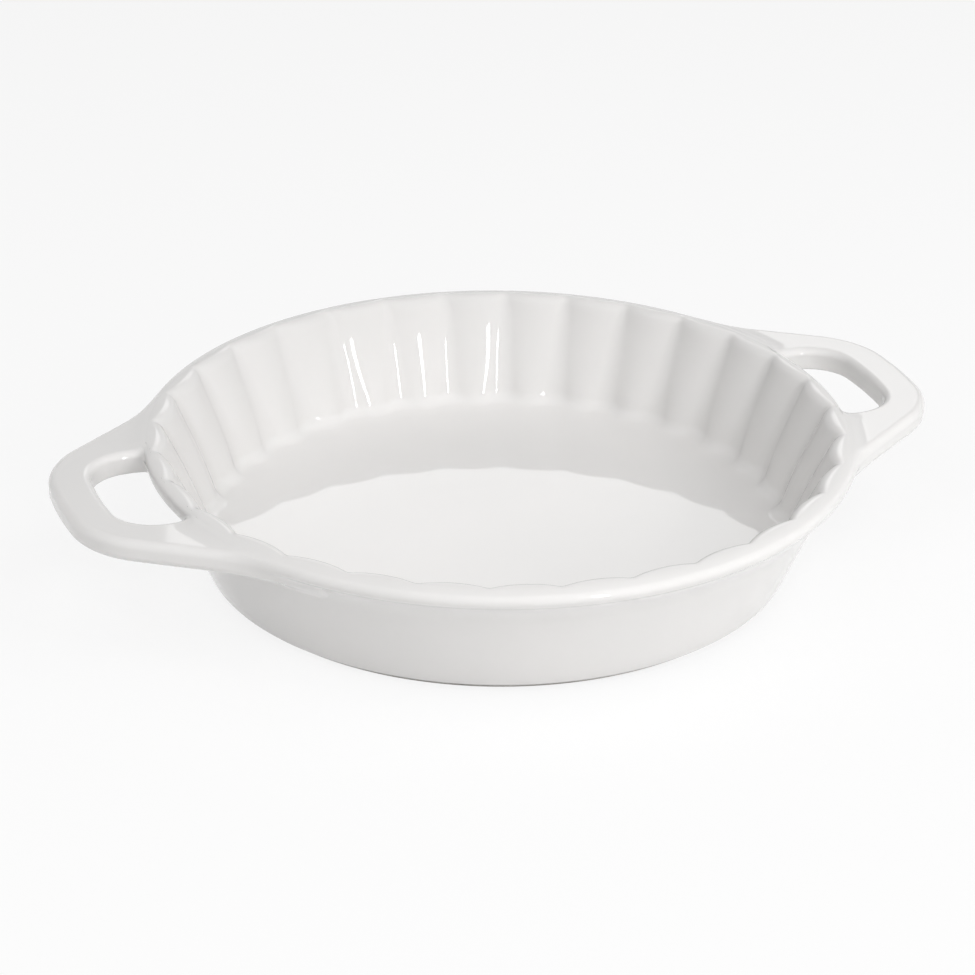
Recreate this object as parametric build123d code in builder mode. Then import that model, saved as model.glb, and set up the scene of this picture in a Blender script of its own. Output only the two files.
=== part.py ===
from build123d import *
import math
import os

# A round stoneware pie dish: fluted inside, smooth outside, with a loop handle at each end.
# Millimetres. The dish stands on z = 0, its axis is Z and its handles point along X.

# Overall sizes.
rim_diameter = 240.0
dish_height = 46.0

# Foot ring under the floor, set in from the foot of the wall.
foot_inset = 3.2
foot_height = 2.3
foot_width = 6.0
foot_rounding = 0.7

# Floor: a slab over the foot, recessed a little inside it.
underside_height = 3.5
floor_thickness = 7.0

# Outer wall: a straight cone that turns out through a cove into the rolled lip.
wall_base_rounding = 1.6
wall_lean = 23.4
lip_depth = 16.0
lip_overhang = 9.4
lip_under_radius = 2.3
lip_rounding = 3.5
rim_band = 12.0

# Inner wall: ribs that swell inwards, with narrow grooves between them.
flute_count = 32
groove_wall_thickness = 4.55
groove_extra_lean = 0.5
rib_height = 2.4
groove_rounding = 1.6
floor_cove_radius = 6.0
floor_cove_steps = 4
rim_inner_rounding = 2.2
rim_rounding_steps = 3

# Handles: a flat bar bent round a finger hole, level with the lip.
handle_top_drop = 1.9
handle_thickness = 7.8
handle_tip_width = 56.8
handle_root_width = 118.0
handle_corner_radius = 32.0
handle_root_radius = 40.0
handle_root_depth = 10.0
shoulder_sweep = 72.0
handle_edge_rounding = 2.8
hole_edge_rounding = 2.2
hole_lip_cut = 2.0
hole_depth = 19.0
hole_width = 52.0
grip_width = 14.0
hole_outer_corner = 14.5
hole_inner_corner = 3.5

# One overrun carries every cut clear past the surface that it opens.
overrun = 5.0

rim_radius = rim_diameter / 2
floor_height = underside_height + floor_thickness
rim_joint_height = dish_height - rim_band
cove_start_height = dish_height - lip_depth
cove_start_radius = rim_radius - lip_overhang
wall_slope = math.tan(math.radians(wall_lean))
wall_base_radius = cove_start_radius - (cove_start_height - foot_height) * wall_slope
foot_radius = wall_base_radius - foot_inset
groove_lean = wall_lean + groove_extra_lean
groove_floor_radius = (
    wall_base_radius + (floor_height - foot_height) * wall_slope - groove_wall_thickness
)
handle_top = dish_height - handle_top_drop
handle_bottom = handle_top - handle_thickness
hole_inner_radius = rim_radius - hole_lip_cut
hole_outer_radius = hole_inner_radius + hole_depth
handle_reach = hole_outer_radius + grip_width
handle_root_inner = rim_radius - handle_root_depth


def arc_point(centre, radius, angle):
    """Point on a circle, with the angle in radians from the first axis."""
    return (centre[0] + radius * math.cos(angle), centre[1] + radius * math.sin(angle))


def outer_section():
    """Half section of the dish without its hollow: foot line, cone, cove, lip and top."""
    lean = math.radians(wall_lean)
    cove_start = cove_start_radius
    tip_radius = lip_under_radius
    tip_height = dish_height - lip_rounding
    # The cove leaves the cone and meets the lip's tip, both tangent, at this radius.
    rise = tip_height - cove_start_height
    reach = rim_radius - tip_radius - cove_start
    spread = tip_radius + reach * math.cos(lean) - rise * math.sin(lean)
    cove_radius = (reach**2 + rise**2 - tip_radius**2) / (2 * spread)
    turn = math.asin((rise + cove_radius * math.sin(lean)) / (cove_radius + tip_radius))
    cove_centre = (
        cove_start + cove_radius * math.cos(lean),
        cove_start_height - cove_radius * math.sin(lean),
    )
    tip_centre = (rim_radius - tip_radius, tip_height)
    lip_centre = (rim_radius - lip_rounding, tip_height)
    cove_end = arc_point(cove_centre, cove_radius, math.pi - turn)
    with BuildSketch(Plane.XZ) as section:
        with BuildLine():
            Line((0, foot_height), (wall_base_radius, foot_height))
            Line((wall_base_radius, foot_height), (cove_start, cove_start_height))
            ThreePointArc(
                (cove_start, cove_start_height),
                arc_point(cove_centre, cove_radius, math.pi - (lean + turn) / 2),
                cove_end,
            )
            ThreePointArc(
                cove_end,
                arc_point(tip_centre, tip_radius, -turn / 2),
                (rim_radius, tip_height),
            )
            ThreePointArc(
                (rim_radius, tip_height),
                arc_point(lip_centre, lip_rounding, math.pi / 4),
                (lip_centre[0], dish_height),
            )
            Line((lip_centre[0], dish_height), (0, dish_height))
            Line((0, dish_height), (0, foot_height))
        make_face()
    return section.sketch


def groove_radius(height):
    """Radius of the groove bottoms on the straight part of the inner wall."""
    rise = height - floor_height
    return groove_floor_radius + rise * math.tan(math.radians(groove_lean))


def scalloped_face(height, groove):
    """A fluted outline: groove arcs out at the given radius, rib arcs in, all tangent."""
    half_pitch = math.pi / flute_count
    crest = groove - rib_height
    inset = groove - groove_rounding
    gap = crest**2 + inset**2 - 2 * crest * inset * math.cos(half_pitch)
    rib_radius = (gap - groove_rounding**2) / (
        2 * (inset * math.cos(half_pitch) + groove_rounding - crest)
    )
    # Groove and rib arcs meet on the line between their centres.
    share = groove_rounding / (groove_rounding + rib_radius)
    rib_centre = arc_point((0, 0), crest + rib_radius, half_pitch)
    joint_x = inset + (rib_centre[0] - inset) * share
    joint_y = rib_centre[1] * share
    joint_radius = math.hypot(joint_x, joint_y)
    joint_angle = math.atan2(joint_y, joint_x)
    with BuildSketch(Plane.XY.offset(height)) as outline:
        with BuildLine():
            for flute in range(flute_count):
                turn = 2 * half_pitch * flute
                after = arc_point((0, 0), joint_radius, turn + joint_angle)
                ThreePointArc(
                    arc_point((0, 0), joint_radius, turn - joint_angle),
                    arc_point((0, 0), groove, turn),
                    after,
                )
                ThreePointArc(
                    after,
                    arc_point((0, 0), crest, turn + half_pitch),
                    arc_point((0, 0), joint_radius, turn + 2 * half_pitch - joint_angle),
                )
        make_face()
    return outline.sketch


def hollow_levels():
    """Height and groove radius of each outline of the hollow, from the floor to the rim."""
    lean = math.radians(groove_lean)
    sweep = math.pi / 2 - lean
    cove_end = floor_height + floor_cove_radius * (1 - math.cos(sweep))
    toe = groove_radius(cove_end) - floor_cove_radius * math.sin(sweep)
    levels = []
    for step in range(floor_cove_steps + 1):
        angle = sweep * step / floor_cove_steps
        height = floor_height + floor_cove_radius * (1 - math.cos(angle))
        levels.append((height, toe + floor_cove_radius * math.sin(angle)))
    centre_height = dish_height - rim_inner_rounding
    centre = groove_radius(centre_height) + rim_inner_rounding / math.cos(lean)
    for step in range(rim_rounding_steps + 1):
        angle = lean + sweep * step / rim_rounding_steps
        height = centre_height + rim_inner_rounding * math.sin(angle)
        levels.append((height, centre - rim_inner_rounding * math.cos(angle)))
    levels.append((dish_height + overrun, centre))
    return levels


def hole_face(height):
    """Finger hole of the +X handle: two arcs round the dish, closed by rounded ends."""
    with BuildSketch(Plane.XY.offset(height)) as hole:
        Circle(hole_outer_radius)
        Circle(hole_inner_radius, mode=Mode.SUBTRACT)
        with Locations((hole_outer_radius, 0)):
            Rectangle(hole_outer_radius, hole_width, mode=Mode.INTERSECT)
        fillet(hole.vertices().group_by(Axis.X)[-1], hole_outer_corner)
        fillet(hole.vertices().group_by(Axis.X)[0], hole_inner_corner)
    return hole.sketch


def undercut_face(height):
    """Space under the lip beside the finger hole, which the handle leaves open."""
    with BuildSketch(Plane.XY.offset(height)) as undercut:
        Circle(hole_inner_radius + hole_inner_corner / 2)
        with Locations((hole_outer_radius, 0)):
            Rectangle(
                hole_outer_radius, hole_width - 2 * hole_inner_corner, mode=Mode.INTERSECT
            )
    return undercut.sketch


def handle_face(height):
    """Plan of the +X handle: straight flanks from a wide root to a curved outer bar."""
    tip_x = math.sqrt(handle_reach**2 - (handle_tip_width / 2) ** 2)
    root_x = math.sqrt(rim_radius**2 - (handle_root_width / 2) ** 2)
    slope = (handle_root_width - handle_tip_width) / 2 / (tip_x - root_x)
    far_y = handle_tip_width / 2 - slope * (handle_reach - tip_x)
    near_y = handle_root_width / 2 + slope * root_x / 2
    wedge_y = handle_reach * math.tan(math.radians(shoulder_sweep / 2))
    with BuildSketch(Plane.XY.offset(height)) as plan:
        with BuildLine():
            Polyline(
                (root_x / 2, near_y),
                (handle_reach, far_y),
                (handle_reach, -far_y),
                (root_x / 2, -near_y),
                close=True,
            )
        make_face()
        Circle(handle_reach, mode=Mode.INTERSECT)
        fillet(plan.vertices().group_by(Axis.X)[-1], handle_corner_radius)
        Circle(rim_radius - lip_rounding)
        ahead = plan.vertices().filter_by(lambda v: v.X > root_x / 2)
        fillet(ahead.group_by(Axis.X)[0], handle_root_radius)
        with BuildLine():
            Polyline((0, 0), (handle_reach, wedge_y), (handle_reach, -wedge_y), close=True)
        make_face(mode=Mode.INTERSECT)
        Circle(handle_root_inner, mode=Mode.SUBTRACT)
    return plan.sketch


def band_face(height):
    """A disc wider than the dish: extruded, it keeps one band of the dish's height."""
    with BuildSketch(Plane.XY.offset(height)) as disc:
        Circle(handle_reach)
    return disc.sketch


# The dish as one turned lump, and the fluted hollow that opens it.
with BuildPart() as turned_dish:
    add(outer_section())
    revolve(axis=Axis.Z)

with BuildPart() as hollow:
    for level_height, level_radius in hollow_levels():
        add(scalloped_face(level_height, level_radius))
    loft(ruled=True)

# The finger hole of the +X handle, clear through the bar and past both of its faces.
with BuildPart() as finger_hole:
    add(hole_face(handle_bottom - overrun))
    extrude(amount=handle_thickness + 2 * overrun)

# Foot ring: stands on its lower face and carries the floor.
with BuildPart() as foot_ring:
    with BuildSketch():
        Circle(foot_radius)
        Circle(foot_radius - foot_width, mode=Mode.SUBTRACT)
    extrude(amount=foot_height)
    fillet(foot_ring.faces().sort_by(Axis.Z)[0].edges(), foot_rounding)
foot_ring.part.label = "foot_ring"

# Floor: the slab between the foot ring and the fluted wall, its underside recessed.
with BuildPart() as dish_floor:
    add(turned_dish.part)
    extrude(
        band_face(foot_height),
        amount=floor_height - foot_height,
        mode=Mode.INTERSECT,
    )
    fillet(dish_floor.edges().group_by(Axis.Z)[0], wall_base_rounding)
    with BuildSketch(Plane.XY.offset(foot_height)):
        Circle(foot_radius - foot_width)
    extrude(amount=underside_height - foot_height, mode=Mode.SUBTRACT)
dish_floor.part.label = "dish_floor"

# Fluted wall: the leaning ring from the floor up to the rim.
with BuildPart() as fluted_wall:
    add(turned_dish.part)
    extrude(
        band_face(floor_height),
        amount=rim_joint_height - floor_height,
        mode=Mode.INTERSECT,
    )
    add(hollow.part, mode=Mode.SUBTRACT)
fluted_wall.part.label = "fluted_wall"

# Rim: the rolled lip, scalloped inside, cut back a little behind each finger hole.
with BuildPart() as rim:
    add(turned_dish.part)
    extrude(
        band_face(rim_joint_height),
        amount=dish_height - rim_joint_height,
        mode=Mode.INTERSECT,
    )
    add(hollow.part, mode=Mode.SUBTRACT)
    with Locations((0, 0), Location((0, 0, 0), (0, 0, 180))):
        add(finger_hole.part, mode=Mode.SUBTRACT)
rim.part.label = "rim"

# The +X handle: its loop, less the finger hole, the space under the lip and the dish.
with BuildPart() as handle:
    add(handle_face(handle_bottom))
    extrude(amount=handle_thickness)
    outer_edges = handle.edges().filter_by(
        lambda e: math.hypot(e.center().X, e.center().Y) > rim_radius - lip_rounding
    )
    fillet(outer_edges.filter_by(Axis.Z, reverse=True), handle_edge_rounding)
    add(finger_hole.part, mode=Mode.SUBTRACT)
    hole_edges = handle.edges(Select.LAST).filter_by(Axis.Z, reverse=True)
    fillet(hole_edges, hole_edge_rounding)
    extrude(
        undercut_face(handle_bottom - overrun),
        amount=handle_thickness + 2 * overrun,
        mode=Mode.SUBTRACT,
    )
    add(turned_dish.part, mode=Mode.SUBTRACT)

with BuildPart() as right_handle:
    add(handle.part)
right_handle.part.label = "right_handle"

with BuildPart() as left_handle:
    add(handle.part.rotate(Axis.Z, 180))
left_handle.part.label = "left_handle"

os.makedirs("parts", exist_ok=True)
export_step(foot_ring.part, "parts/foot_ring.step")
export_step(dish_floor.part, "parts/dish_floor.step")
export_step(fluted_wall.part, "parts/fluted_wall.step")
export_step(rim.part, "parts/rim.step")
export_step(left_handle.part, "parts/left_handle.step")
export_step(right_handle.part, "parts/right_handle.step")
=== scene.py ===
import math
from functools import partial
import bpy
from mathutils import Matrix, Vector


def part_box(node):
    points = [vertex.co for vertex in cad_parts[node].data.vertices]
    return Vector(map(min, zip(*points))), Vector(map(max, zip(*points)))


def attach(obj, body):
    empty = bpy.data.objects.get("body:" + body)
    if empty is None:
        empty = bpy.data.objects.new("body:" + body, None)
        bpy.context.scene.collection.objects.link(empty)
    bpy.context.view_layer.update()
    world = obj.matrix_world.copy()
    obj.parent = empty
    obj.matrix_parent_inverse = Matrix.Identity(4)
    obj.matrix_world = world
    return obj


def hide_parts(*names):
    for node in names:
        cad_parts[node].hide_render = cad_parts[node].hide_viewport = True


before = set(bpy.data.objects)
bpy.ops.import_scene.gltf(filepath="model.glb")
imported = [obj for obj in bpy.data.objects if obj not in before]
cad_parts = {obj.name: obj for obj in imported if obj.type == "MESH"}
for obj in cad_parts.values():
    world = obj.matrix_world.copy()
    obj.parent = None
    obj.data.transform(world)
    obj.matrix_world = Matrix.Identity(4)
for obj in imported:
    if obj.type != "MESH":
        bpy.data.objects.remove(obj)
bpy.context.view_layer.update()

from types import SimpleNamespace

import bpy
import numpy as np
from bpy.props import FloatProperty, FloatVectorProperty, IntProperty, PointerProperty
from mathutils import Matrix, Vector

# A white fluted pie dish with a loop handle at each end, on a pale table.
# Metres. The dish stands on z = 0, its axis is Z and its handles point along X.

bl_info = {
    "name": "Fluted Pie Dish",
    "version": (1, 0, 0),
    "blender": (4, 5, 0),
    "location": "3D Viewport > Sidebar > Pie Dish",
    "description": "Builds a glazed fluted pie dish with two loop handles",
    "category": "Add Mesh",
}

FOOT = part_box("foot_ring")
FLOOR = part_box("dish_floor")
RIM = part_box("rim")
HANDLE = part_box("right_handle")
MM = 0.001
DIGITS = 5
FAR = 1.0
NEAR_ZERO = 1e-9
TINY = 1e-12
QUARTER = math.pi / 2

# Softboxes: name, degrees round from the camera's right (the camera itself is at -90),
# degrees up, distance, width and height in metres, power in watts, and whether the glaze
# mirrors it or only takes its light.
SOFTBOXES = (
    ("Top", -95.0, 64.0, 1.4, 1.8, 1.4, 8.1, False),
    ("Front", -100.0, 40.0, 1.5, 1.4, 0.9, 2.2, False),
    ("Key strip", -60.0, 20.0, 1.3, 0.10, 0.36, 3.1, True),
    ("Low right", -35.0, 1.1, 1.3, 1.4, 0.04, 1.9, False),
    ("Low left", 150.0, 1.1, 1.3, 1.2, 0.04, 4.2, False),
    ("Left high", -140.0, 45.0, 1.4, 1.2, 1.0, 4.7, False),
    ("Right high", -10.0, 50.0, 1.4, 1.2, 1.0, 8.0, False),
    ("Right mid", -20.0, 25.0, 1.4, 1.0, 0.5, 2.7, False),
    ("Back panel", 86.5, 28.5, 2.6, 1.0, 0.5, 1.9, True),
)

# The picture that the camera is set for, and where it shows the middle of the foot.
PICTURE_SIDE = 975
FOOT_CENTRE_PIXEL = (496.84, 548.62)
SENSOR_WIDTH = 36.0

# Where the softboxes point, half the table's side, and its lift towards white.
LAMP_TARGET = (0.0, 0.0, 0.03)
TABLE_HALF = 4.0
TABLE_LIFT = 0.85

# Boxiness of the handle's section and of its end loop, and that loop's ends in degrees round.
TUBE_POWER = 0.45
LOOP_POWER = 0.55
LOOP_ENDS = (6.8, 47.0)


def maker(kind, **settings):
    """A function that makes properties of one kind from a name, a description and a default."""

    def made(name, description, default):
        return kind(name=name, description=description, default=default, **settings)

    return made


length = maker(FloatProperty, min=0.0, unit="LENGTH", precision=DIGITS)
rotation = maker(FloatProperty, unit="ROTATION")
colour = maker(FloatVectorProperty, size=3, min=0.0, max=1.0, subtype="COLOR")
fraction = maker(FloatProperty, min=0.0, max=1.0)
amount = maker(FloatProperty, min=0.0)


def plain(name, description, millimetres):
    """A size given in millimetres."""
    return length(name, description, millimetres * MM)


def angle(name, description, degrees):
    """An angle given in degrees."""
    return rotation(name, description, math.radians(degrees))


class DishSizes(bpy.types.PropertyGroup):
    """Sizes of the turned dish, its foot, floor, wall and rim, and of the two loop handles."""

    rim_radius: length("Rim radius", "Axis to the outermost line of the lip", RIM[1].y)
    height: length("Height", "Table to the top of the rim", RIM[1].z)
    rim_joint: length("Rim joint", "Height at which the rim starts", RIM[0].z)
    floor_height: length("Floor height", "Table to the inside floor", FLOOR[1].z)
    foot_radius: length("Foot radius", "Outside of the foot ring", FOOT[1].y)
    foot_height: length("Foot height", "Height of the foot ring", FOOT[1].z)
    foot_width: plain("Foot width", "Width of the foot ring", 6.0)
    foot_rounding: plain("Foot rounding", "Rounding of the foot's lower edges", 0.7)
    underside: plain("Underside", "Table to the underside of the floor", 3.5)
    underside_rounding: plain("Underside rounding", "Fillet where foot meets underside", 1.0)
    base_rounding: plain("Base rounding", "Rounding at the foot of the wall", 1.6)
    wall_lean: angle("Wall lean", "Lean of the outer wall from upright", 23.4)
    lip_depth: plain("Lip depth", "Height over which the wall turns out", 16.0)
    lip_overhang: plain("Lip overhang", "How far the lip stands out", 9.4)
    lip_under: plain("Lip under radius", "Rounding of the lip's lower side", 2.3)
    lip_height: plain("Lip height", "Rim's top to the outermost line of the lip", 3.5)
    lip_over: plain("Lip over radius", "Rounding of the lip's upper side", 2.65)
    crown_width: plain("Crown width", "Outermost line to where the rim's top turns level", 7.1)
    crown_edge: plain("Crown edge", "Outermost line to where the level land begins", 3.4)
    lip_cut: plain("Lip cut", "How far the lip draws back behind a finger hole", 2.0)
    flutes: IntProperty(name="Flutes", description="Ribs round the inner wall", default=32, min=3)
    groove_wall: plain("Groove wall", "Wall thickness behind a groove", 4.55)
    groove_extra_lean: angle("Groove lean", "Extra lean of the grooves", 0.5)
    rib_height: plain("Rib height", "How far a rib stands out of its grooves", 2.4)
    rib_fade: plain("Rib fade", "How much lower a rib is halfway up the wall", 0.7)
    groove_rounding: plain("Groove rounding", "Radius in a groove at the rim", 3.0)
    groove_softness: plain("Groove softness", "Radius in a groove at the floor", 10.0)
    wall_belly: plain("Wall belly", "How far the inner wall bulges halfway up", 0.9)
    floor_cove: plain("Floor cove", "Radius between floor and wall", 6.0)
    inner_rounding: plain("Inner rounding", "Radius of the rim's inner edge", 4.2)

    reach: length("Reach", "Axis to the tip of a handle", HANDLE[1].x - 0.03 * MM)
    handle_top: length("Handle top", "Height of the handle's top face", HANDLE[1].z)
    handle_bottom: length("Handle bottom", "Height of the handle's lower face", HANDLE[0].z)
    tip_width: plain("Tip width", "Width of the outer bar before rounding", 56.8)
    root_width: plain("Root width", "Width where the flanks meet the rim", 118.0)
    corner_radius: plain("Corner radius", "Outer corners in plan", 32.0)
    root_radius: plain("Root radius", "Sweep of the flanks into the rim", 40.0)
    root_circle: plain("Root circle", "Circle under the lip where the flanks end", 113.5)
    edge_rounding: plain("Edge rounding", "Rounding of the outer edges", 2.8)
    hole_rounding: plain("Hole edge rounding", "Rounding of the hole's upper edge", 2.6)
    hole_sharpness: plain("Hole lower rounding", "Rounding of the hole's lower edge", 0.9)
    hole_width: plain("Hole width", "Width of the finger hole", 52.0)
    hole_corner: plain("Hole corner", "Outer corners of the finger hole", 14.5)
    grip_width: plain("Grip width", "Width of the outer bar", 14.0)
    blend_over: plain("Blend over", "Softness of the join on top of the handle", 6.5)
    blend_under: plain("Blend under", "Softness of the join below the handle", 9.0)
    blend_rim: plain("Blend at the rim", "Softness of the join at the rim's top", 1.8)
    land_overlap: plain("Land overlap", "Width over which the handle's skin dips", 1.2)
    hidden_depth: plain("Hidden depth", "How deep the skin's edge lies in the rim", 0.25)
    cap_depth: plain("Cap depth", "How deep the handle's hidden end lies", 0.6)


class DishLook(bpy.types.PropertyGroup):
    """Colours and gloss of the glaze and of the bare foot."""

    glaze: colour("Glaze", "White of the glaze", (0.78, 0.767, 0.757))
    pooled: colour("Pooled glaze", "Glaze where it lies thicker", (0.765, 0.755, 0.745))
    gloss: fraction("Glaze roughness", "Roughness of the glaze", 0.02)
    clay: colour("Bare clay", "Unglazed foot", (0.52, 0.505, 0.485))
    speck: colour("Clay speck", "Darker grains in the bare clay", (0.41, 0.385, 0.36))
    clay_roughness: fraction("Clay roughness", "Roughness of the bare foot", 0.62)


class StageLook(bpy.types.PropertyGroup):
    """Camera and light."""

    azimuth: angle("Camera azimuth", "Turn of the camera about the dish", -21.4)
    elevation: angle("Camera elevation", "Height of the camera above the table", 27.27)
    distance: length("Camera distance", "Camera to the middle of the foot", 1.17)
    roll: angle("Camera roll", "Tilt of the picture", 0.575)
    focal: amount("Focal length", "Lens, in millimetres on the sensor", 127.14)
    table: colour("Table", "Pale table top", (0.86, 0.86, 0.86))
    surround: amount("Surround", "Strength of the even light around", 0.01)
    lamps: amount("Lamps", "Scales the power of all the softboxes", 1.0)


# Curves and grids.


def arc(centre, radius, start, end, count):
    """Points on a circle: centre plus radius times (cosine, sine) of evenly spaced angles."""
    turn = np.linspace(start, end, count)
    return np.stack([centre[0] + radius * np.cos(turn), centre[1] + radius * np.sin(turn)], 1)


def straight(start, end, count):
    """Evenly spaced points from start to end."""
    share = np.linspace(0.0, 1.0, count)[:, None]
    return np.asarray(start) * (1 - share) + np.asarray(end) * share


def chain(*runs):
    """Runs of points one after another, each without the point it shares with the last."""
    return np.concatenate([runs[0]] + [run[1:] for run in runs[1:]])


def unit(vectors):
    """Vectors divided by their own length."""
    size = np.linalg.norm(vectors, axis=-1, keepdims=True)
    return vectors / np.maximum(size, TINY)


def eased(share):
    """Three times the share squared less twice its cube: level at nought and at one."""
    return share * share * (3 - 2 * share)


def wrapped(grid):
    """A grid with its first column repeated after its last, to close it round."""
    return np.concatenate([grid, grid[:, :1]], axis=1)


def row_slope(points):
    """Direction along the rows: steps before and after, each weighed by the other's length."""
    step = np.diff(points, axis=0)
    size = np.maximum(np.linalg.norm(step, axis=-1, keepdims=True), NEAR_ZERO)
    slope = step / size
    inner = slope[1:] * size[:-1] + slope[:-1] * size[1:]
    return np.concatenate([slope[:1], inner, slope[-1:]])


def surface_normals(points):
    """Cross product of the direction along the rows with that round the closed columns."""
    round_step = np.roll(points, -1, axis=1) - np.roll(points, 1, axis=1)
    return unit(np.cross(row_slope(points), round_step))


def placed(name, data):
    """A new object in the scene."""
    thing = bpy.data.objects.new(name, data)
    bpy.context.scene.collection.objects.link(thing)
    return thing


def make_piece(name, points, patches, slot, nodes):
    """Mesh of several grids over one list of points.

    A patch is a grid of point numbers and a grid of normals. Each square of neighbouring
    numbers is a face, a triangle where two of them are the same, as at a pole.
    """
    low, high = slice(None, -1), slice(1, None)
    square = (low, low), (high, low), (high, high), (low, high)
    corners, normals = [], []
    for numbers, facing in patches:
        corners.append(np.stack([numbers[part].ravel() for part in square], 1))
        normals.append(np.stack([facing[part].reshape(-1, 3) for part in square], 1))
    corners = np.concatenate(corners)
    normals = np.concatenate(normals)
    keep = corners != np.roll(corners, 1, axis=1)
    whole = keep.sum(1) >= 3
    corners, normals, keep = corners[whole], normals[whole], keep[whole]
    sides = keep.sum(1)
    used, renumbered = np.unique(corners[keep], return_inverse=True)
    mesh = bpy.data.meshes.new(name)
    mesh.vertices.add(len(used))
    mesh.vertices.foreach_set("co", points[used].astype(np.float32).ravel())
    mesh.loops.add(int(sides.sum()))
    mesh.loops.foreach_set("vertex_index", renumbered.astype(np.int32))
    mesh.polygons.add(len(sides))
    starts = np.cumsum(sides) - sides
    mesh.polygons.foreach_set("loop_start", starts.astype(np.int32))
    mesh.update(calc_edges=True)
    mesh.shade_smooth()
    mesh.normals_split_custom_set(unit(normals[keep]).tolist())
    mesh.materials.append(ceramic(slot))
    piece = placed(name, mesh)
    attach(piece, "root")
    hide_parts(*nodes)


# The dish's section and its flutes.


def lip_curves(dish):
    """Centres, radii and angles of the crown, the lip's upper and lower side, and the cove.

    The cove leaves the cone and meets the lip's lower arc, both without a corner: its radius
    is (reach squared + rise squared - tip squared) over twice (tip + reach cos - rise sin).
    The crown is tangent to the level at its middle and to the lip's upper arc.
    """
    cos, sin = math.cos(dish.wall_lean), math.sin(dish.wall_lean)
    tip_z = dish.height - dish.lip_height
    start = (dish.rim_radius - dish.lip_overhang, dish.height - dish.lip_depth)
    rise = tip_z - start[1]
    reach = dish.rim_radius - dish.lip_under - start[0]
    spread = dish.lip_under + reach * cos - rise * sin
    radius = (reach**2 + rise**2 - dish.lip_under**2) / (2 * spread)
    side = dish.crown_width - dish.lip_over
    fall = dish.lip_height - dish.lip_over
    crown = (side**2 + dish.lip_height**2 - dish.lip_over**2) / (2 * fall)
    crown_centre = (dish.rim_radius - dish.crown_width, dish.height - crown)
    return SimpleNamespace(
        crown=crown,
        crown_centre=crown_centre,
        crown_start=math.acos((dish.crown_width - dish.crown_edge) / crown),
        crown_end=math.atan2(tip_z - crown_centre[1], side),
        over=(dish.rim_radius - dish.lip_over, tip_z),
        under=(dish.rim_radius - dish.lip_under, tip_z),
        turn=math.asin((rise + radius * sin) / (radius + dish.lip_under)),
        radius=radius,
        centre=(start[0] + radius * cos, start[1] - radius * sin),
        start=start,
    )


def cone_radius(dish, height):
    """Radius at a height of the cone that the outer wall follows below the cove."""
    start = lip_curves(dish).start
    return start[0] - (start[1] - height) * math.tan(dish.wall_lean)


def outer_rows(dish):
    """Section of the outside from the rim's top to the foot: the lip, the wall and its base."""
    curves = lip_curves(dish)
    lean = dish.wall_lean
    joint = math.pi - math.asin((dish.rim_joint - curves.centre[1]) / curves.radius)
    floor = (cone_radius(dish, dish.floor_height), dish.floor_height)
    # The base rounding touches the cone and the flat ledge over the foot.
    rounding = dish.base_rounding
    middle = cone_radius(dish, dish.foot_height) + rounding * (math.tan(lean) - 1 / math.cos(lean))
    cone_end = arc((middle, dish.foot_height + rounding), rounding, -lean, -QUARTER, 9)
    lip = chain(
        arc(curves.crown_centre, curves.crown, curves.crown_start, curves.crown_end, 9),
        arc(curves.over, dish.lip_over, curves.crown_end, 0.0, 15),
        arc(curves.under, dish.lip_under, 0.0, -curves.turn, 12),
        arc(curves.centre, curves.radius, math.pi - curves.turn, joint, 12),
    )
    wall = chain(
        arc(curves.centre, curves.radius, joint, math.pi - lean, 6), straight(curves.start, floor, 9)
    )
    ledge = straight(cone_end[-1], (dish.foot_radius, dish.foot_height), 3)
    return lip, wall, chain(straight(floor, cone_end[0], 4), cone_end, ledge)


def crown_drop(dish, radius):
    """How far the rim's crowned top lies below the rim's height at a radius."""
    curves = lip_curves(dish)
    out = np.clip(radius - curves.crown_centre[0], 0.0, curves.crown)
    return curves.crown - np.sqrt(curves.crown**2 - out**2)


def lip_cut(dish, theta):
    """How far the lip draws back at an angle: full behind a finger hole, then fading out."""
    fold = np.abs((theta + QUARTER) % math.pi - QUARTER)
    edge = math.asin(dish.hole_width / 2 / dish.rim_radius)
    fade = np.clip((fold - edge) / (edge / 4), 0.0, 1.0)
    return dish.lip_cut * (1 - eased(fade))


def drawn_back(dish, radius, cut):
    """Radius after the lip is drawn back: less by the cut times a growing square."""
    start = dish.rim_radius - 2 * dish.lip_height
    share = np.clip((radius - start) / (dish.rim_radius - start), 0.0, None)
    return radius - cut * share * share


def let_out(dish, radius, cut):
    """The radius that drawn_back started from, by solving its square.

    Past the lip it is the radius plus the cut.
    """
    start = dish.rim_radius - 2 * dish.lip_height
    span = dish.rim_radius - start
    past = np.maximum(radius - start, 0.0)
    small = np.maximum(cut, NEAR_ZERO)
    root = np.sqrt(np.maximum(span * span - 4 * small * past, 0.0))
    inner = np.where(radius > start, start + span * (span - root) / (2 * small), radius)
    return np.where(radius < dish.rim_radius - cut, inner, radius + cut)


def columns(dish, per_flute=32, crowding=0.115):
    """Angles round the dish, closer together at each groove than along a rib."""
    share = np.arange(dish.flutes * per_flute) / per_flute
    return 2 * math.pi / dish.flutes * (share - crowding * np.sin(2 * math.pi * share))


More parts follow.
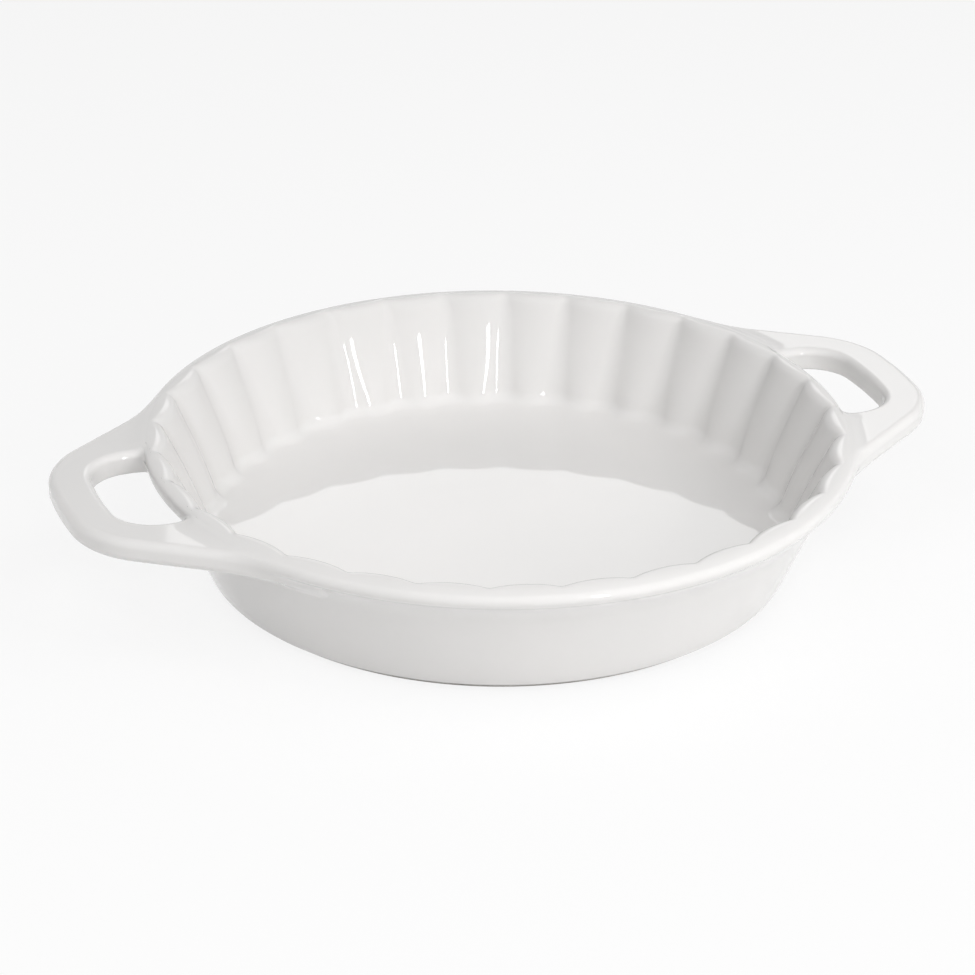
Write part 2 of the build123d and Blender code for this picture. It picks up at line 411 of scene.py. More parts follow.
def fluted_radius(dish, theta, groove, rounding, rib_height):
    """Radius of the fluted outline at each angle, for a groove radius, rounding and rib height.

    Circles of the groove's own rounding sit at the grooves, and larger circles that touch
    them bulge in as ribs. Along a ray at angle a from a circle's middle at distance d, a
    circle of radius q is met at d cos a, plus or minus the root of q squared less d sin a
    squared: plus for the groove, minus for the rib.
    """
    half = math.pi / dish.flutes
    crest = groove - rib_height
    inset = groove - rounding
    gap = crest**2 + inset**2 - 2 * crest * inset * math.cos(half)
    rib = (gap - rounding**2) / (2 * (inset * math.cos(half) + rounding - crest))
    share = rounding / (rounding + rib)
    far = crest + rib
    joint = np.arctan2(far * math.sin(half) * share, inset + (far * math.cos(half) - inset) * share)
    fold = np.abs((theta + half) % (2 * half) - half)
    in_groove = inset * np.cos(fold) + np.sqrt(
        np.maximum(rounding**2 - (inset * np.sin(fold)) ** 2, 0.0)
    )
    away = half - fold
    on_rib = far * np.cos(away) - np.sqrt(np.maximum(rib**2 - (far * np.sin(away)) ** 2, 0.0))
    return np.where(fold < joint, in_groove, on_rib)


def inner_levels(dish):
    """Height and groove radius of the inside, as rows for the wall and for the rim.

    The straight slope bulges by four times the belly times u (1 - u), u being the share of the
    way up. The arcs at its ends take up the leans that this gives it there.
    """
    lean = dish.wall_lean + dish.groove_extra_lean
    slope = math.tan(lean)
    floor_groove = cone_radius(dish, dish.floor_height) - dish.groove_wall
    flat = 1 - math.sin(lean)
    low = dish.floor_height + dish.floor_cove * flat
    high = dish.height - dish.inner_rounding * flat
    extra = 4 * dish.wall_belly / (high - low)

    def slope_rows(start, end, count):
        z = np.linspace(start, end, count)
        share = (z - low) / (high - low)
        belly = 4 * dish.wall_belly * share * (1 - share)
        return np.stack([floor_groove + (z - dish.floor_height) * slope - belly, z], 1)

    low_lean, high_lean = math.atan(slope - extra), math.atan(slope + extra)
    cove_radius = dish.floor_cove * flat / (1 - math.sin(low_lean))
    edge_radius = dish.inner_rounding * flat / (1 - math.sin(high_lean))
    foot = slope_rows(low, low, 1)[0]
    head = slope_rows(high, high, 1)[0]
    cove_centre = (foot[0] - cove_radius * math.cos(low_lean), dish.floor_height + cove_radius)
    edge_centre = (head[0] + edge_radius * math.cos(high_lean), dish.height - edge_radius)
    cove = arc(cove_centre, cove_radius, -QUARTER, -low_lean, 13)
    edge = arc(edge_centre, edge_radius, math.pi - high_lean, QUARTER, 13)
    wall = chain(cove, slope_rows(low, dish.rim_joint, 15))
    return wall, chain(slope_rows(dish.rim_joint, high, 8), edge)


def turned(radius, height, theta):
    """Points of a section at angles round the axis: (radius cos, radius sin, height)."""
    x, y = radius * np.cos(theta), radius * np.sin(theta)
    return np.stack(np.broadcast_arrays(x, y, height), -1)


def master_surface(dish, floor_power=0.8, groove_power=5):
    """The whole glazed skin as one grid, from the floor's middle over the rim to the foot.

    Returns the points, their normals and the rows at both ends and where pieces meet.
    """
    theta = columns(dish)
    wall_in, rim_in = inner_levels(dish)
    lip, wall_out, base_run = outer_rows(dish)
    inside = chain(wall_in, rim_in)
    outer = chain(lip, wall_out, base_run)
    cut = lip_cut(dish, theta)
    rise = (inside[:, 1:] - dish.floor_height) / (dish.height - dish.floor_height)
    narrowing = (dish.groove_rounding - dish.groove_softness) * rise**groove_power
    ribs = dish.rib_height - 4 * dish.rib_fade * rise * (1 - rise)
    radii = fluted_radius(dish, theta, inside[:, :1], dish.groove_softness + narrowing, ribs)
    heights = inside[:, 1:] - crown_drop(dish, let_out(dish, radii, cut))
    floor_radii = (np.linspace(0.0, 1.0, 13)[:-1] ** floor_power)[:, None] * radii[0]
    outer_radii = drawn_back(dish, outer[:, :1], cut)
    land_radii = straight(radii[-1], outer_radii[0], 8)[1:-1]
    land_heights = dish.height - crown_drop(dish, let_out(dish, land_radii, cut))
    top = (floor_radii, dish.floor_height), (radii, heights), (land_radii, land_heights)
    runs = [turned(*run, theta) for run in (*top, (outer_radii, outer[:, 1:]))]
    points = np.concatenate(runs)
    normals = surface_normals(points)
    normals[0] = (0.0, 0.0, 1.0)
    toe = len(floor_radii)
    outer_joint = toe + len(inside) + len(land_radii) + len(lip) - 1
    rows = {
        "middle": 0,
        "toe": toe,
        "inner_joint": toe + len(wall_in) - 1,
        "outer_joint": outer_joint,
        "outer_floor": outer_joint + len(wall_out) - 1,
        "foot": len(points) - 1,
    }
    return points, normals, rows


def glazed_runs(*spans):
    """Grids of the glazed skin, each from one named row to another, with their normals."""
    points, normals, rows = master_surface(bpy.context.scene.pie_dish_sizes)
    parts = [slice(rows[first], rows[last] + 1) for first, last in spans]
    return [(points[part], normals[part]) for part in parts]


def numbered(rows, cols, first=0):
    """Point numbers of a grid, closed round its columns."""
    return wrapped(first + np.arange(rows * cols).reshape(rows, cols))


def ring_piece(name, runs, joint_normals, slot, nodes):
    """A piece of grids that share columns, closed by flat joint faces between them.

    A first or last row that lies on the axis becomes a single point, a pole.
    """
    points = np.concatenate([grid for grid, _ in runs])
    patches, edges, first = [], [], 0
    for grid, facing in runs:
        numbers = numbered(*grid.shape[:2], first)
        for row in (0, -1):
            if not grid[row, :, :2].any():
                numbers[row] = numbers[row, 0]
        patches.append((numbers, wrapped(facing)))
        edges.append((numbers[:1], numbers[-1:]))
        first += len(grid) * grid.shape[1]
    for index, z in enumerate(joint_normals):
        band = np.concatenate([edges[index][1], edges[(index + 1) % len(edges)][0]])
        patches.append((band, np.broadcast_to((0.0, 0.0, z), (*band.shape, 3))))
    make_piece(name, points.reshape(-1, 3), patches, slot, nodes)


# Signed distances: negative inside, positive outside.


def arc_part(x, y, centre, radius, start, end, hollow=False):
    """Distance to an arc and whether the point lies in its sweep; inside out if hollow."""
    dx, dy = x - centre[0], y - centre[1]
    gap = np.hypot(dx, dy) - radius
    reached = np.mod(np.arctan2(dy, dx) - start, 2 * math.pi) <= end - start
    return (-gap if hollow else gap), reached


def line_part(x, y, start, end):
    """Distance to the left of a line, and whether the point lies beside it."""
    size = math.hypot(end[0] - start[0], end[1] - start[1])
    along = ((end[0] - start[0]) / size, (end[1] - start[1]) / size)
    dx, dy = x - start[0], y - start[1]
    share = dx * along[0] + dy * along[1]
    return dy * along[0] - dx * along[1], (share >= 0) & (share <= size)


def nearest(*parts):
    """The distance of smallest size among the parts that each point lies beside."""
    signed = np.stack([np.where(reached, gap, FAR) for gap, reached in parts])
    pick = np.abs(signed).argmin(0)
    return np.take_along_axis(signed, pick[None], 0)[0]


def rounded_meet(first, second, radius):
    """Distance to what two solids share, with the edge between them rounded."""
    u = np.maximum(first + radius, 0.0)
    v = np.maximum(second + radius, 0.0)
    return np.hypot(u, v) + np.minimum(np.maximum(first, second) + radius, 0.0) - radius


def unrolled(dish, points):
    """Radius and height of points in the dish's section, with the lip let out again."""
    theta = np.arctan2(points[..., 1], points[..., 0])
    radius = np.hypot(points[..., 0], points[..., 1])
    return let_out(dish, radius, lip_cut(dish, theta)), points[..., 2]


def body_distance(dish, points):
    """Distance to the dish as a turned lump, nearest of crown, lip, cove and cone."""
    curves = lip_curves(dish)
    r, z = unrolled(dish, points)
    crown, end, turn = curves.crown_centre, curves.crown_end, math.pi - curves.turn
    return nearest(
        line_part(r, z, (0.0, dish.height), (crown[0], dish.height)),
        arc_part(r, z, crown, curves.crown, end, QUARTER),
        arc_part(r, z, curves.over, dish.lip_over, 0.0, end),
        arc_part(r, z, curves.under, dish.lip_under, -curves.turn, 0.0),
        arc_part(r, z, curves.centre, curves.radius, turn, math.pi - dish.wall_lean, hollow=True),
        line_part(r, z, curves.start, (cone_radius(dish, 0.0), 0.0)),
    )


def handle_plan(dish):
    """Centres and tangent points of the handle's outline and of its finger hole."""
    reach, side = dish.reach, dish.root_width / 2
    tip = (math.sqrt(reach**2 - dish.tip_width**2 / 4), dish.tip_width / 2)
    along = unit(np.subtract(tip, (math.sqrt(dish.rim_radius**2 - side**2), side)))
    normal = np.array([-along[1], along[0]])
    offset = float(normal @ tip)
    inner = offset - dish.corner_radius
    corner = inner * normal + along * math.sqrt((reach - dish.corner_radius) ** 2 - inner**2)
    outer = offset + dish.root_radius
    sweep = dish.root_circle + dish.root_radius
    fillet = outer * normal + along * math.sqrt(sweep**2 - outer**2)
    hole_reach = reach - dish.grip_width
    hole_y = dish.hole_width / 2 - dish.hole_corner
    hole_x = math.sqrt((hole_reach - dish.hole_corner) ** 2 - hole_y**2)
    return SimpleNamespace(
        normal_turn=math.atan2(normal[1], normal[0]),
        corner=corner,
        corner_turn=math.atan2(corner[1], corner[0]),
        flank_end=corner + dish.corner_radius * normal,
        flank_start=fillet - dish.root_radius * normal,
        fillet=fillet,
        fillet_turn=math.atan2(fillet[1], fillet[0]),
        root=fillet * dish.root_circle / sweep,
        hole_reach=hole_reach,
        hole_corner=(hole_x, hole_y),
        hole_side=dish.hole_width / 2,
        hole_turn=math.atan2(hole_y, hole_x),
    )


def handle_distance(dish, points):
    """Distance to the +X handle: a slab in the outline, less the hole, all edges rounded."""
    plan = handle_plan(dish)
    x, y, z = points[..., 0], np.abs(points[..., 1]), points[..., 2]
    axis, bend, flank = (0.0, 0.0), plan.fillet_turn, plan.normal_turn
    outline = nearest(
        arc_part(x, y, axis, dish.reach, -QUARTER, plan.corner_turn),
        arc_part(x, y, plan.corner, dish.corner_radius, plan.corner_turn, flank),
        line_part(x, y, plan.flank_start, plan.flank_end),
        arc_part(
            x, y, plan.fillet, dish.root_radius, bend - math.pi, flank - math.pi, hollow=True
        ),
        arc_part(x, y, plan.root, 0.0, bend, bend + QUARTER),
        line_part(x, y, axis, plan.root),
    )
    hole = nearest(
        arc_part(x, y, axis, plan.hole_reach, -QUARTER, plan.hole_turn),
        arc_part(x, y, plan.hole_corner, dish.hole_corner, plan.hole_turn, QUARTER),
        line_part(x, y, (0.0, plan.hole_side), (plan.hole_corner[0], plan.hole_side)),
    )
    middle = (dish.handle_top + dish.handle_bottom) / 2
    slab = np.abs(z - middle) - (dish.handle_top - dish.handle_bottom) / 2
    rounding = np.where(z > middle, dish.hole_rounding, dish.hole_sharpness)
    return np.maximum(
        rounded_meet(outline, slab, dish.edge_rounding), rounded_meet(-hole, slab, rounding)
    )


def both_distances(dish, points):
    """Distance to the dish, distance to the handle outside it, and the blend's length there.

    The blend is long under the handle and short at the rim's top.
    """
    body = body_distance(dish, points)
    levels = (dish.handle_bottom, dish.handle_top, dish.height)
    lengths = (dish.blend_under, dish.blend_over, dish.blend_rim)
    blend = np.interp(points[..., 2], levels, lengths)
    return body, np.maximum(handle_distance(dish, points), -body), blend


def joined_distance(dish, points):
    """Dish and handle as one solid with soft joins.

    The smaller of the two distances, less a sixth of the blend length times the cube of how
    far the other is within that length.
    """
    body, handle, blend = both_distances(dish, points)
    near = np.maximum(blend - np.abs(body - handle), 0.0) / blend
    return np.minimum(body, handle) - near**3 * blend / 6


def slope_of(distance, points, step=0.02 * MM):
    """Gradient of a distance by differences across a small step on each axis."""
    parts = []
    for axis in range(3):
        shift = np.zeros(3)
        shift[axis] = step
        parts.append(distance(points + shift) - distance(points - shift))
    return np.stack(parts, -1) / (2 * step)


def settle(distance, points, rounds, most=1.0 * MM, least_slope=0.05):
    """Points moved onto the zero surface by Newton steps of a limited length."""
    for _ in range(rounds):
        slope = slope_of(distance, points)
        size = np.maximum((slope**2).sum(-1, keepdims=True), least_slope)
        step = -distance(points)[..., None] * slope / size
        reach = np.maximum(np.linalg.norm(step, axis=-1, keepdims=True), TINY)
        points = points + step * np.minimum(1.0, most / reach)
    return points


def run_lengths(points):
    """How far along a chain of points each of them lies."""
    return np.concatenate([[0.0], np.cumsum(np.linalg.norm(np.diff(points, axis=0), axis=1))])


def plan_path(corners, count):
    """Evenly spaced points along a chain of points in plan."""
    size = run_lengths(corners)
    where = np.linspace(0.0, size[-1], count)
    return np.stack([np.interp(where, size, corners[:, axis]) for axis in range(2)], 1)


def handle_guides(dish, count, flank_run=0.04):
    """Matching points along the finger hole and along the outline, for the +Y half."""
    plan = handle_plan(dish)
    axis, corner = (0.0, 0.0), plan.hole_corner
    hole = chain(
        arc(axis, plan.hole_reach, 0.0, plan.hole_turn, 12),
        arc(corner, dish.hole_corner, plan.hole_turn, QUARTER, 16),
        straight((corner[0], plan.hole_side), (dish.rim_radius - dish.lip_cut, plan.hole_side), 8),
    )
    start = math.atan2(plan.flank_start[1], plan.flank_start[0])
    outline = chain(
        arc(axis, dish.reach, 0.0, plan.corner_turn, 16),
        arc(plan.corner, dish.corner_radius, plan.corner_turn, plan.normal_turn, 16),
        straight(plan.flank_end, plan.flank_start, 16),
        arc(axis, np.hypot(*plan.flank_start), start, start + flank_run, 3),
    )
    return plan_path(hole, count), plan_path(outline, count)


def skin_point(dish, theta, share):
    """Point of the outside skin at an angle and a share of the way from lip to cone."""
    lip, wall, _ = outer_rows(dish)
    section = chain(lip, wall[:-4])
    size = run_lengths(section)
    where = share * size[-1]
    reach = np.interp(where, size, section[:, 0])
    radius = drawn_back(dish, reach, lip_cut(dish, theta))
    return turned(radius, np.interp(where, size, section[:, 1]), theta)


def boxy(wave, power):
    """A sine or cosine raised to a power below one with its sign kept, so a circle turns boxy."""
    return np.sign(wave) * np.abs(wave) ** power


def handle_half(dish, around=128, along=84, flare=34, relaxing=30, settling=6):
    """Half of the +X handle as a tube: from the bar's middle to a loop on the dish's skin.

    The tube's section is a rounded box from the hole to the outline. Past the root it spreads
    to an oval on the skin, and all of it is then relaxed and settled on the joined solid.
    """
    distance = partial(joined_distance, dish)
    hole, outline = handle_guides(dish, along)
    turn = np.arange(around) / around * 2 * math.pi
    cos, sin = np.cos(turn), np.sin(turn)
    across = (0.5 - 0.5 * boxy(cos, TUBE_POWER))[None, :, None]
    plan = hole[:, None] * (1 - across) + outline[:, None] * across
    middle = (dish.handle_top + dish.handle_bottom) / 2
    height = middle + (dish.handle_top - dish.handle_bottom) / 2 * boxy(sin, TUBE_POWER)
    tube = np.stack(np.broadcast_arrays(plan[..., 0], plan[..., 1], height), -1)
    near, far = (math.radians(end) for end in LOOP_ENDS)
    theta = near + (far - near) * (0.5 - 0.5 * boxy(cos, LOOP_POWER))
    share = 0.5 - 0.5 * boxy(sin, LOOP_POWER)
    blend = np.linspace(0.0, 1.0, flare + 1)[1:, None, None]
    spread = tube[-1] * (1 - blend) + skin_point(dish, theta, share) * blend
    grid = settle(distance, np.concatenate([tube, spread]), settling)
    for _ in range(relaxing):
        padded = np.concatenate([grid[1:2] * (1.0, -1.0, 1.0), grid])
        side = np.roll(padded, 1, axis=1) + np.roll(padded, -1, axis=1)
        mean = (side[1:-1] + padded[:-2] + padded[2:]) / 4
        grid[:-1] = (grid[:-1] + mean) / 2
        grid[0, :, 1] = 0.0
        grid[:-1] = settle(distance, grid[:-1], 1)
    grid[:-1] = settle(distance, grid[:-1], settling)
    grid[0, :, 1] = 0.0
    normals = unit(slope_of(distance, grid))
    return grid - normals * hidden_dip(dish, grid)[..., None], normals, theta, share


def hidden_dip(dish, points, start=0.85, span=0.4):
    """How far the handle's skin dips under the dish's own skin, so that its edge is hidden.

    It starts where the soft join fades out, and on the rim's top where the lip turns level.
    """
    _, gap, blend = both_distances(dish, points)
    radius, _ = unrolled(dish, points)
    level = dish.rim_radius - dish.crown_edge + dish.land_overlap
    inward = (level - radius) / dish.land_overlap
    past = np.maximum((gap / blend - start) / span, inward)
    return dish.hidden_depth * eased(np.clip(past, 0.0, 1.0))


def handle_piece(name, node, side, cap_rows=11):
    """One handle: the half tube, its mirror image and a hidden cap inside the rim at each end.

    A cap runs from the upper to the lower half of the end loop, a little under the skin. The
    columns are turned round at last, so that the faces look outwards.
    """
    dish = bpy.context.scene.pie_dish_sizes
    grid, normals, theta, share = handle_half(dish)
    points = np.concatenate([grid[:0:-1] * (1.0, -1.0, 1.0), grid])
    facing = np.concatenate([normals[:0:-1] * (1.0, -1.0, 1.0), normals])
    rows, cols = points.shape[:2]
    numbers = numbered(rows, cols)
    upper = np.arange(cols // 2 + 1)
    lower = -upper % cols
    cap = skin_point(dish, theta[upper], straight(share[upper], share[lower], cap_rows))
    inward = unit(slope_of(partial(body_distance, dish), cap))
    inner = (cap - inward * dish.cap_depth)[1:-1, 1:-1]
    patches, grids, count = [(numbers, wrapped(facing))], [points.reshape(-1, 3)], rows * cols
    for end, mirror in ((rows - 1, 1), (0, -1)):
        web = np.empty(cap.shape[:2], dtype=np.int64)
        web[0], web[-1] = numbers[end, upper], numbers[end, lower]
        web[:, 0], web[:, -1] = web[0, 0], web[0, -1]
        web[1:-1, 1:-1] = count + np.arange(inner.size // 3).reshape(inner.shape[:2])
        count += inner.size // 3
        grids.append((inner * (1.0, mirror, 1.0)).reshape(-1, 3))
        patches.append((web[::mirror], (-inward * (1.0, mirror, 1.0))[::mirror]))
    spin = (side, side, 1.0)
    patches = [(web[:, ::-1], near[:, ::-1] * spin) for web, near in patches]
    make_piece(name, np.concatenate(grids) * spin, patches, "glaze", [node])


# Materials.


def connect(tree, node, inputs):
    """Gives each listed input of a node a value, or links it to another node's output."""
    for key, value in inputs.items():
        if isinstance(value, bpy.types.NodeSocket):
            tree.links.new(value, node.inputs[key])
        else:
            node.inputs[key].default_value = value


def wired(tree, kind, output, inputs, **settings):
    """The named output of a new shader node with the given settings and inputs."""
    made = tree.nodes.new("ShaderNode" + kind)
    for key, value in settings.items():
        setattr(made, key, value)
    connect(tree, made, inputs)
    return made.outputs[output]


VARIATION_INPUTS = {
    "Color": ("Tint", "Second tint"),
    "Float": ("Cloud scale", "Grain scale", "Grain share", "Roughness", "Roughness spread"),
}
VARIATION_OUTPUTS = {"Color": ("Colour",), "Float": ("Roughness", "Height")}


def ceramic_variation():
    """Node group: slow clouds and fine grain over the surface, for glaze and for bare clay.

    Gives a colour between two tints, a roughness and a height, all from Object coordinates.
    """
    group = bpy.data.node_groups.get("Ceramic variation")
    if group is not None:
        return group
    group = bpy.data.node_groups.new("Ceramic variation", "ShaderNodeTree")
    for direction, kinds in (("INPUT", VARIATION_INPUTS), ("OUTPUT", VARIATION_OUTPUTS)):
        for kind, names in kinds.items():
            for name in names:
                group.interface.new_socket(
                    name=name, in_out=direction, socket_type="NodeSocket" + kind
                )
    given = group.nodes.new("NodeGroupInput").outputs
    place = wired(group, "TexCoord", "Object", {})
    cloud, grain = (
        wired(group, "TexNoise", "Fac", {"Vector": place, "Scale": given[scale], "Detail": detail})
        for scale, detail in (("Cloud scale", 3.0), ("Grain scale", 4.0))
    )
    mixed = {"Factor": given["Grain share"], "A": cloud, "B": grain}
    both = wired(group, "Mix", "Result", mixed)
    limits = {"Value": both, "From Min": 0.35, "From Max": 0.65}
    spread = wired(group, "MapRange", "Result", limits)
    tints = {"Factor": spread, "A": given["Tint"], "B": given["Second tint"]}
    tint = wired(group, "Mix", "Result", tints, data_type="RGBA")
    terms = {0: spread, 1: given["Roughness spread"], 2: given["Roughness"]}
    rough = wired(group, "Math", "Value", terms, operation="MULTIPLY_ADD")
    result = group.nodes.new("NodeGroupOutput")
    connect(group, result, {"Colour": tint, "Roughness": rough, "Height": both})
    return group


# Finishes by slot: the material's name, its two tints, scale of clouds and of grain, share of
# the grain, roughness and its spread, strength and depth of the relief. Names are of DishLook.
FINISHES = {
    "glaze": ("White glaze", "glaze", "pooled", 22.0, 420.0, 0.08, "gloss", 0.02, 0.25, 0.02 * MM),
    "bare_foot": (
        "Bare clay", "clay", "speck", 60.0, 1500.0, 0.55, "clay_roughness", 0.15, 0.5, 0.1 * MM
    ),
}


def ceramic(slot):
    """The ceramic of a slot: two tints in clouds and grain, its gloss and its fine relief."""
    name, tint, second, *shares, gloss, spread, bump, depth = FINISHES[slot]
    material = bpy.data.materials.get(name)
    if material is not None:
        return material
    material = bpy.data.materials.new(name)
    material.use_nodes = True
    tree, look = material.node_tree, bpy.context.scene.pie_dish_look
    varied = tree.nodes.new("ShaderNodeGroup")
    varied.node_tree = ceramic_variation()
    tints = [(*getattr(look, key), 1.0) for key in (tint, second)]
    names = VARIATION_INPUTS["Color"] + VARIATION_INPUTS["Float"]
    values = (*tints, *shares, getattr(look, gloss), spread)
    connect(tree, varied, dict(zip(names, values)))
    mixed, rough, height = varied.outputs
    relief = wired(tree, "Bump", "Normal", {"Strength": bump, "Distance": depth, "Height": height})
    surface = {"Base Color": mixed, "Roughness": rough, "Normal": relief}
    connect(tree, tree.nodes["Principled BSDF"], surface)
    return material


# Operators: one for each part of the dish, and one for the stage.


class DISH_OT_floor(bpy.types.Operator):
    """Build the glazed floor with the foot of the wall"""

    bl_idname = "pie_dish.floor"
    bl_label = "Floor"

    def execute(self, context):
        """Floor disc, outer foot of the wall, ledge over the foot ring, and underside."""
        sizes = context.scene.pie_dish_sizes
        inner = sizes.foot_radius - sizes.foot_width
        rounding = sizes.underside_rounding
        fillet = arc((inner - rounding, sizes.underside - rounding), rounding, 0.0, QUARTER, 7)
        under = chain(
            straight((inner, sizes.foot_height), fillet[0], 2),
            fillet,
            straight(fillet[-1], (0.0, sizes.underside), 12),
        )
        below = turned(under[:, :1], under[:, 1:], columns(sizes))
        below_normals = surface_normals(below)
        below_normals[-1] = (0.0, 0.0, -1.0)
        runs = glazed_runs(("middle", "toe"), ("outer_floor", "foot"))
        runs.append((below, below_normals))
        ring_piece("glazed_floor", runs, (1.0, -1.0), "glaze", ["dish_floor"])
        return {"FINISHED"}


class DISH_OT_wall(bpy.types.Operator):
    """Build the wall, fluted inside and smooth outside"""

    bl_idname = "pie_dish.wall"
    bl_label = "Fluted wall"

    def execute(self, context):
        """Rows of the glazed skin between the floor and the rim, inside and out."""
        runs = glazed_runs(("toe", "inner_joint"), ("outer_joint", "outer_floor"))
        ring_piece("glazed_wall", runs, (1.0, -1.0), "glaze", ["fluted_wall"])
        return {"FINISHED"}


class DISH_OT_rim(bpy.types.Operator):
    """Build the scalloped rim with its rolled lip"""

    bl_idname = "pie_dish.rim"
    bl_label = "Rim"

    def execute(self, context):
        """Rows of the glazed skin above the rim's joint."""
        runs = glazed_runs(("inner_joint", "outer_joint"))
        ring_piece("glazed_rim", runs, (-1.0,), "glaze", ["rim"])
        return {"FINISHED"}


class DISH_OT_foot(bpy.types.Operator):
    """Build the bare foot ring"""

    bl_idname = "pie_dish.foot"
    bl_label = "Foot ring"

    def execute(self, context):
        """A ring with rounded lower edges, closed by its joint with the floor."""
        sizes = context.scene.pie_dish_sizes
        outer, inner = sizes.foot_radius, sizes.foot_radius - sizes.foot_width
        top, rounding = sizes.foot_height, sizes.foot_rounding
        section = chain(
            straight((outer, top), (outer, rounding), 3),
            arc((outer - rounding, rounding), rounding, 0.0, -QUARTER, 8),
            straight((outer - rounding, 0.0), (inner + rounding, 0.0), 4),
            arc((inner + rounding, rounding), rounding, -QUARTER, -math.pi, 8),
            straight((inner, rounding), (inner, top), 3),
        )
        count = 512
        theta = np.arange(count) / count * 2 * math.pi
        ring = turned(section[:, :1], section[:, 1:], theta)
        runs = [(ring, surface_normals(ring))]
        ring_piece("bare_foot_ring", runs, (1.0,), "bare_foot", ["foot_ring"])
        return {"FINISHED"}


class DISH_OT_handles(bpy.types.Operator):
    """Build both loop handles, the same twice, half a turn apart"""

    bl_idname = "pie_dish.handles"
    bl_label = "Handles"

    def execute(self, context):
        handle_piece("glazed_handle_right", "right_handle", 1)
        handle_piece("glazed_handle_left", "left_handle", -1)
        return {"FINISHED"}


def seen_directly(tree):
    """One for camera, glossy and transmission rays, nought for the rays that light."""
    path = tree.nodes.new("ShaderNodeLightPath").outputs
    rays = {0: path["Is Glossy Ray"], 1: path["Is Transmission Ray"]}
    mirrored = wired(tree, "Math", "Value", rays, operation="MAXIMUM")
    rays = {0: path["Is Camera Ray"], 1: mirrored}
    return wired(tree, "Math", "Value", rays, operation="MAXIMUM")


def white_surround(strength):
    """Even light around; white where the camera, a reflection or glass looks past the dish."""
    world = bpy.data.worlds.new("Studio surround")
    world.use_nodes = True
    tree = world.node_tree
    tree.nodes.clear()
    even = wired(tree, "Background", "Background", {"Strength": strength})
    white = wired(tree, "Background", "Background", {"Color": (1.0, 1.0, 1.0, 1.0)})
    mix = wired(tree, "MixShader", "Shader", {"Fac": seen_directly(tree), 1: even, 2: white})
    connect(tree, tree.nodes.new("ShaderNodeOutputWorld"), {"Surface": mix})
    bpy.context.scene.world = world


def table_material(tint):
    """Pale table: a matt white, lifted towards white where it is seen or mirrored."""
    material = bpy.data.materials.new("Pale table")
    material.use_nodes = True
    tree = material.node_tree
    shader = tree.nodes["Principled BSDF"]
    matt = {"Base Color": (*tint, 1.0), "Roughness": 0.9, "Specular IOR Level": 0.0}
    connect(tree, shader, matt)
    factors = {0: seen_directly(tree), 1: TABLE_LIFT}
    lift = wired(tree, "Math", "Value", factors, operation="MULTIPLY")
    glow = wired(tree, "Emission", "Emission", {})
    parts = {"Fac": lift, 1: shader.outputs["BSDF"], 2: glow}
    mix = wired(tree, "MixShader", "Shader", parts)
    connect(tree, tree.nodes["Material Output"], {"Surface": mix})
    return material


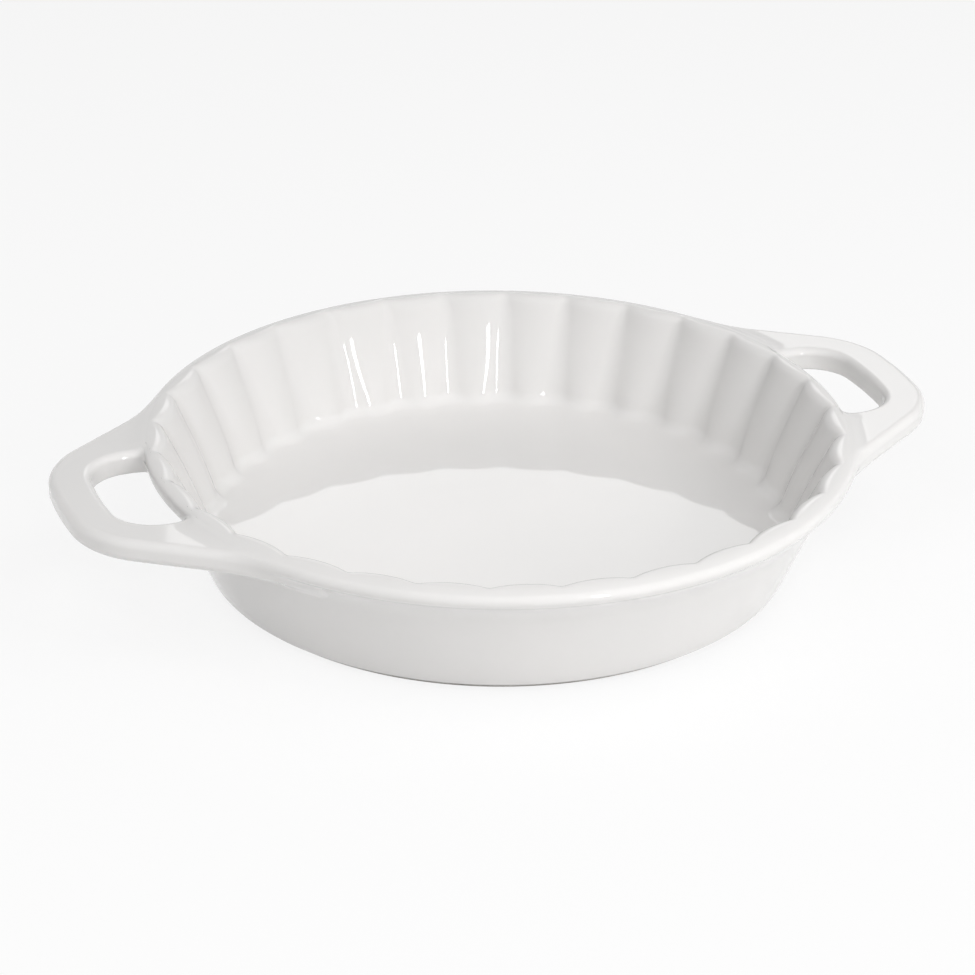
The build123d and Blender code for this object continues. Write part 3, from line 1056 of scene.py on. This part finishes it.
class DISH_OT_stage(bpy.types.Operator):
    """Set up the table, the studio light and the camera"""

    bl_idname = "pie_dish.stage"
    bl_label = "Stage"

    def execute(self, context):
        """A pale table, soft light, and a camera at the picture's own angle."""
        look = context.scene.pie_dish_stage
        self.table(look)
        self.light(look)
        self.camera(context, look)
        context.scene.view_settings.view_transform = "Standard"
        return {"FINISHED"}

    def table(self, look):
        """A flat square: four corners at height zero."""
        low, high = -TABLE_HALF, TABLE_HALF
        corners = [(low, low, 0.0), (high, low, 0.0), (high, high, 0.0), (low, high, 0.0)]
        mesh = bpy.data.meshes.new("table_top")
        mesh.from_pydata(corners, [], [(0, 1, 2, 3)])
        mesh.materials.append(table_material(look.table))
        table = placed("table_top", mesh)

    def light(self, look):
        """The surround and the softboxes, each placed by its angles from the camera's right."""
        white_surround(look.surround)
        for name, side, height, distance, width, tall, power, mirrored in SOFTBOXES:
            turn, rise = look.azimuth + math.radians(side), math.radians(height)
            level = Vector((math.cos(turn), math.sin(turn), 0.0)) * math.cos(rise)
            spot = (level + Vector((0.0, 0.0, math.sin(rise)))) * distance
            light = bpy.data.lights.new(name, "AREA")
            light.shape = "RECTANGLE"
            light.size, light.size_y = width, tall
            light.energy = power * look.lamps
            lamp = placed(name, light)
            lamp.visible_glossy = mirrored
            lamp.location = spot
            facing = Vector(LAMP_TARGET) - spot
            lamp.rotation_euler = facing.to_track_quat("-Z", "Y").to_euler()

    def camera(self, context, look):
        """Camera at the given angles, aimed so that the foot's middle falls on its pixel.

        The aim turns the camera's axis onto the direction of that pixel by the shortest turn,
        after the roll and the turn round the dish.
        """
        data = bpy.data.cameras.new("Camera")
        data.sensor_width = SENSOR_WIDTH
        data.lens = look.focal
        camera = placed("Camera", data)
        cos, sin = math.cos(look.elevation), math.sin(look.elevation)
        spot = Vector((0.0, -cos, sin)) * look.distance
        base = Matrix(((1, 0, 0), (0, -sin, -cos), (0, cos, -sin)))
        focal = look.focal / SENSOR_WIDTH * PICTURE_SIDE
        right, down = ((value - PICTURE_SIDE / 2) / focal for value in FOOT_CENTRE_PIXEL)
        aim = Vector((0, 0, 1)).rotation_difference(Vector((right, down, 1)).normalized())
        rows = aim.to_matrix() @ Matrix.Rotation(look.roll, 3, "Z") @ base
        axes = Matrix((rows[0], -rows[1], -rows[2])).transposed()
        turn = Matrix.Rotation(look.azimuth, 4, "Z")
        camera.matrix_world = turn @ Matrix.Translation(spot) @ axes.to_4x4()
        context.scene.camera = camera


class DISH_PT_panel(bpy.types.Panel):
    """Sizes, finishes and build steps of the pie dish"""

    bl_idname = "DISH_PT_panel"
    bl_label = "Pie Dish"
    bl_space_type = "VIEW_3D"
    bl_region_type = "UI"
    bl_category = "Pie Dish"

    def draw(self, context):
        """The build steps, then every size and colour by group."""
        layout = self.layout
        for step in STEPS:
            layout.operator(step.bl_idname)
        for group in GROUPS:
            box = layout.box()
            values = getattr(context.scene, group)
            for name in values.__annotations__:
                box.prop(values, name)


GROUPS = {
    "pie_dish_sizes": DishSizes,
    "pie_dish_look": DishLook,
    "pie_dish_stage": StageLook,
}
STEPS = (DISH_OT_floor, DISH_OT_wall, DISH_OT_rim, DISH_OT_foot, DISH_OT_handles, DISH_OT_stage)
CLASSES = (*GROUPS.values(), *STEPS, DISH_PT_panel)


def register():
    """Adds the classes and hangs each property group on the scene."""
    for kind in CLASSES:
        bpy.utils.register_class(kind)
    for name, group in GROUPS.items():
        setattr(bpy.types.Scene, name, PointerProperty(type=group))


def unregister():
    """Takes everything back that register added."""
    for name in GROUPS:
        delattr(bpy.types.Scene, name)
    for kind in reversed(CLASSES):
        bpy.utils.unregister_class(kind)


def main():
    """Registers the add-on and runs its steps in order."""
    register()
    bpy.ops.pie_dish.floor()
    bpy.ops.pie_dish.wall()
    bpy.ops.pie_dish.rim()
    bpy.ops.pie_dish.foot()
    bpy.ops.pie_dish.handles()
    bpy.ops.pie_dish.stage()


if __name__ == "__main__":
    main()
